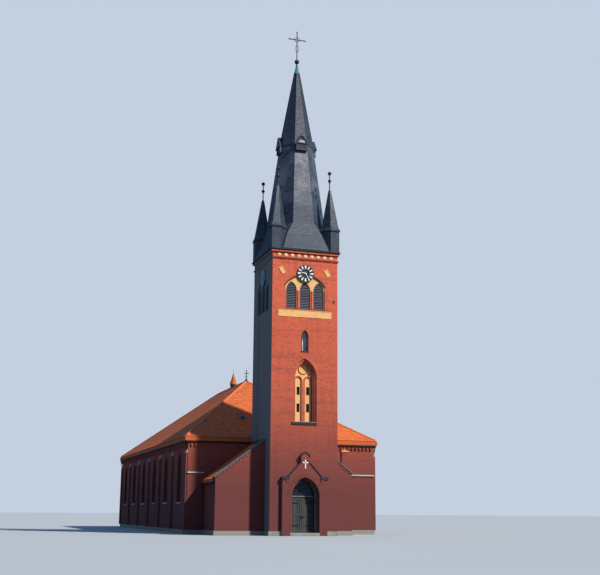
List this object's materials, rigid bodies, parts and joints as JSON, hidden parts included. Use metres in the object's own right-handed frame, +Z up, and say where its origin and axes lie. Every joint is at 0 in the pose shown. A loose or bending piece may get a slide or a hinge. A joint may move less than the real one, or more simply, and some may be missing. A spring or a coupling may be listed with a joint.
{
  "type": "brick church with a spired tower",
  "caption": "Brick church with a square clock tower, an octagonal slate spire with corner turrets, lean-to annexes and a hipped tiled nave.",
  "frame": {"origin": "on the tower's vertical axis at ground level, under its stone ground floor", "axes": "+Z up, -Y out of the entrance front, +X to the right seen from the front; the nave runs along +Y"},
  "size_m": [14.8006, 37.8106, 38.35],
  "materials": {
    "brick": "rough fired brick with pale joints",
    "pale_stone": "rough dressed stone",
    "plaster": "painted lime plaster",
    "slate": "overlapping grey slates",
    "copper": "weathered green copper",
    "iron": "black painted iron",
    "dark_wood": "dark stained boards",
    "louvre_wood": "weathered painted slats",
    "floor_wood": "plain boards",
    "window_glass": "old window glass",
    "roof_tile": "orange clay tiles",
    "white_paint": "white paint",
    "dial_paint": "near-black enamel"
  },
  "bodies": {
    "church": {"tower_plinth": "pale_stone", "front_pier_left": "brick", "front_pier_right": "brick", "front_wall": "brick", "left_wall": "brick", "right_wall": "brick", "back_wall": "brick", "ground_floor": "pale_stone", "gallery_floor": "floor_wood", "belfry_floor": "floor_wood", "niche_panel": "plaster", "niche_glass": "window_glass", "lancet_glass": "window_glass", "inscription_band": "plaster", "tower_cornice": "brick", "portal_surround": "brick", "portal_cross": "white_paint", "door_frame": "dark_wood", "spire_skirt": "slate", "spire_lower": "slate", "lucarne_ring": "slate", "spire_upper": "slate", "spire_finial": "copper", "turret_front_left": "slate", "turret_front_right": "slate", "turret_back_left": "slate", "turret_back_right": "slate", "annex_left_walls": "brick", "annex_left_roof": "roof_tile", "annex_right_walls": "brick", "annex_right_roof": "roof_tile", "annex_chimney": "brick", "nave_front_wall": "brick", "nave_left_wall": "brick", "nave_right_wall": "brick", "nave_back_wall": "brick", "nave_floor": "pale_stone", "nave_glass_left": "window_glass", "nave_glass_right": "window_glass", "nave_roof_front": "roof_tile", "nave_roof_back": "roof_tile", "nave_roof_left": "roof_tile", "nave_roof_right": "roof_tile", "ridge_cross": "iron", "fleche": "roof_tile", "belfry_screen_front": "louvre_wood", "belfry_screen_left": "louvre_wood", "belfry_screen_right": "louvre_wood", "belfry_screen_back": "louvre_wood", "clock_dial_front": "dial_paint", "clock_dial_left": "dial_paint", "clock_dial_right": "dial_paint"},
    "door_left": {"door_leaf_left": "dark_wood"},
    "door_right": {"door_leaf_right": "dark_wood"},
    "hour_front": {"hour_hand_front": "white_paint"},
    "minute_front": {"minute_hand_front": "white_paint"},
    "hour_left": {"hour_hand_left": "white_paint"},
    "minute_left": {"minute_hand_left": "white_paint"},
    "hour_right": {"hour_hand_right": "white_paint"},
    "minute_right": {"minute_hand_right": "white_paint"}
  },
  "joints": [
    {"name": "door_left_hinge", "type": "hinge", "parent": "church", "child": "door_left", "pos_m": [-0.844, -1.88, 0], "axis": [0, 0, 1], "range_deg": [0, 90]},
    {"name": "door_right_hinge", "type": "hinge", "parent": "church", "child": "door_right", "pos_m": [0.844, -1.88, 0], "axis": [0, 0, -1], "range_deg": [0, 90]},
    {"name": "minute_front_turn", "type": "hinge", "parent": "church", "child": "minute_front", "pos_m": [0, -2.45, 18.32], "axis": [0, 1, 0], "continuous": true},
    {"name": "hour_front_turn", "type": "hinge", "parent": "church", "child": "hour_front", "pos_m": [0, -2.45, 18.32], "axis": [0, 1, 0], "continuous": true},
    {"name": "minute_left_turn", "type": "hinge", "parent": "church", "child": "minute_left", "pos_m": [-2.45, 0, 18.32], "axis": [1, 0, 0], "continuous": true},
    {"name": "hour_left_turn", "type": "hinge", "parent": "church", "child": "hour_left", "pos_m": [-2.45, 0, 18.32], "axis": [1, 0, 0], "continuous": true},
    {"name": "minute_right_turn", "type": "hinge", "parent": "church", "child": "minute_right", "pos_m": [2.45, 0, 18.32], "axis": [-1, 0, 0], "continuous": true},
    {"name": "hour_right_turn", "type": "hinge", "parent": "church", "child": "hour_right", "pos_m": [2.45, 0, 18.32], "axis": [-1, 0, 0], "continuous": true}
  ],
  "couplings": [
    {"joint": "hour_front_turn", "follows": "minute_front_turn", "ratio": 0.083333},
    {"joint": "minute_left_turn", "follows": "minute_front_turn", "ratio": 1},
    {"joint": "hour_left_turn", "follows": "minute_front_turn", "ratio": 0.083333},
    {"joint": "minute_right_turn", "follows": "minute_front_turn", "ratio": 1},
    {"joint": "hour_right_turn", "follows": "minute_front_turn", "ratio": 0.083333}
  ]
}
